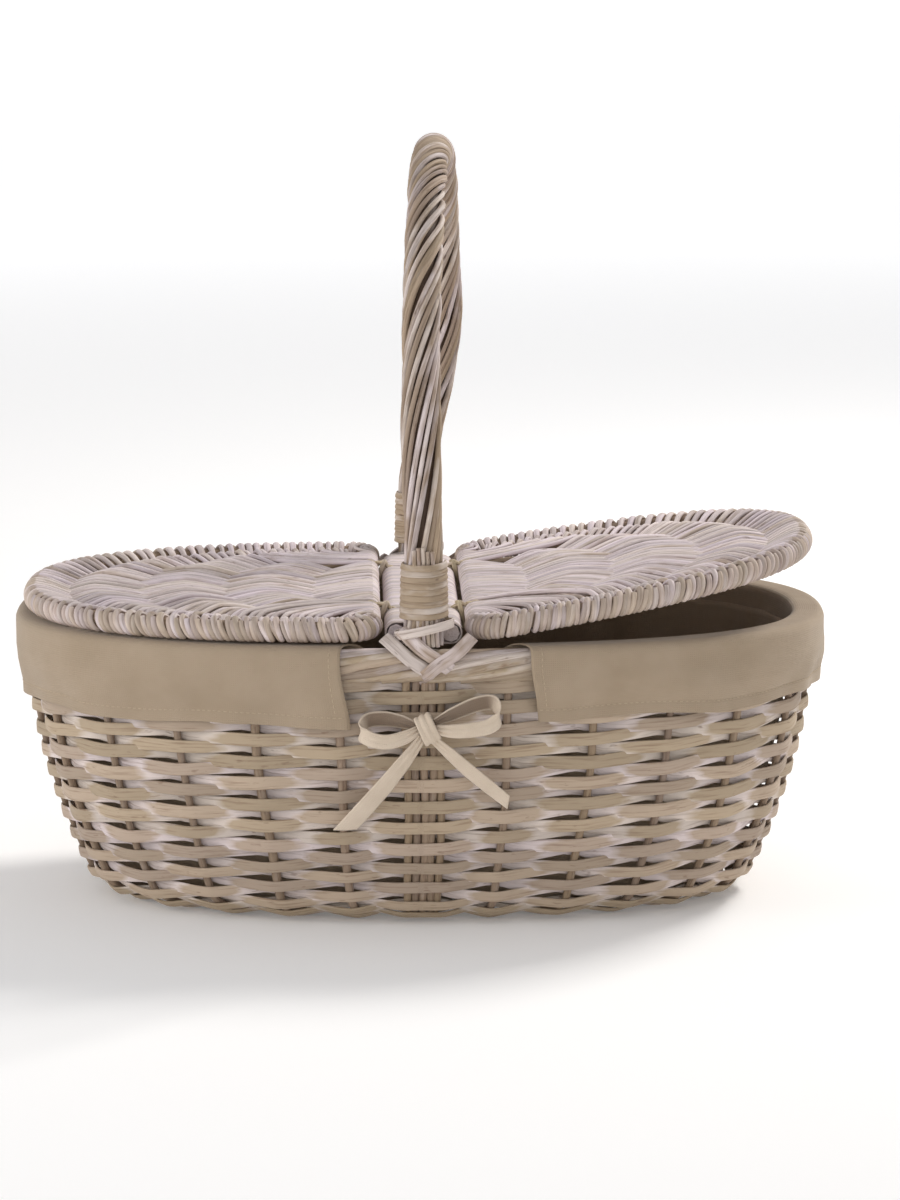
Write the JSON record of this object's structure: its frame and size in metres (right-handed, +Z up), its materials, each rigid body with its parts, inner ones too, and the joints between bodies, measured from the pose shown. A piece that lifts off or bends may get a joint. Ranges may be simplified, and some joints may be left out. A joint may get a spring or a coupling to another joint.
{
  "type": "lidded wicker picnic basket",
  "caption": "Oval willow picnic basket with a fixed roped arch handle, two D-shaped lids hinged to a middle bridge, and a cotton liner with turned-down cuffs tied by ribbon bows.",
  "frame": {"origin": "on the floor, under the middle of the basket", "axes": "+X along the basket's length, towards the lid that stands ajar; -Y is the front; +Z up"},
  "size_m": [0.431, 0.307, 0.404],
  "materials": {
    "wall_willow": "limewashed matt",
    "whitened_willow": "limewashed matt",
    "handle_willow": "limewashed matt",
    "liner_cotton": "plain weave",
    "ribbon_cotton": "plain weave"
  },
  "bodies": {
    "basket": {"base_panel": "wall_willow", "bow_back_knot": "ribbon_cotton", "bow_back_loop_left": "ribbon_cotton", "bow_back_loop_right": "ribbon_cotton", "bow_back_tail_left": "ribbon_cotton", "bow_back_tail_right": "ribbon_cotton", "bow_front_knot": "ribbon_cotton", "bow_front_loop_left": "ribbon_cotton", "bow_front_loop_right": "ribbon_cotton", "bow_front_tail_left": "ribbon_cotton", "bow_front_tail_right": "ribbon_cotton", "bridge_rod_left": "whitened_willow", "bridge_rod_right": "whitened_willow", "bridge_weave": "whitened_willow", "foot_wale": "wall_willow", "handle_binding_back": "handle_willow", "handle_binding_front": "handle_willow", "handle_core": "handle_willow", "handle_lashing_back": "handle_willow", "handle_lashing_front": "handle_willow", "handle_rope": "handle_willow", "hinge_loop_left_back": "whitened_willow", "hinge_loop_left_front": "whitened_willow", "hinge_loop_right_back": "whitened_willow", "hinge_loop_right_front": "whitened_willow", "liner_bottom": "liner_cotton", "liner_cuff_left": "liner_cotton", "liner_cuff_right": "liner_cotton", "liner_wall": "liner_cotton", "rim_border": "wall_willow", "side_weave": "wall_willow", "upper_wale": "wall_willow"},
    "lid_left": {"lid_left_hinge_bar": "whitened_willow", "lid_left_hoop": "whitened_willow", "lid_left_rib_1": "whitened_willow", "lid_left_rib_2": "whitened_willow", "lid_left_rib_3": "whitened_willow", "lid_left_weave": "whitened_willow"},
    "lid_right": {"lid_right_hinge_bar": "whitened_willow", "lid_right_hoop": "whitened_willow", "lid_right_rib_1": "whitened_willow", "lid_right_rib_2": "whitened_willow", "lid_right_rib_3": "whitened_willow", "lid_right_weave": "whitened_willow"}
  },
  "joints": [
    {"name": "lid_left_hinge", "type": "hinge", "parent": "basket", "child": "lid_left", "pos_m": [-0.0275, 0, 0.1605], "axis": [0, 1, 0], "range_deg": [0, 90]},
    {"name": "lid_right_hinge", "type": "hinge", "parent": "basket", "child": "lid_right", "pos_m": [0.0275, 0, 0.1605], "axis": [0, -1, 0], "range_deg": [-9.5, 80.5]}
  ]
}
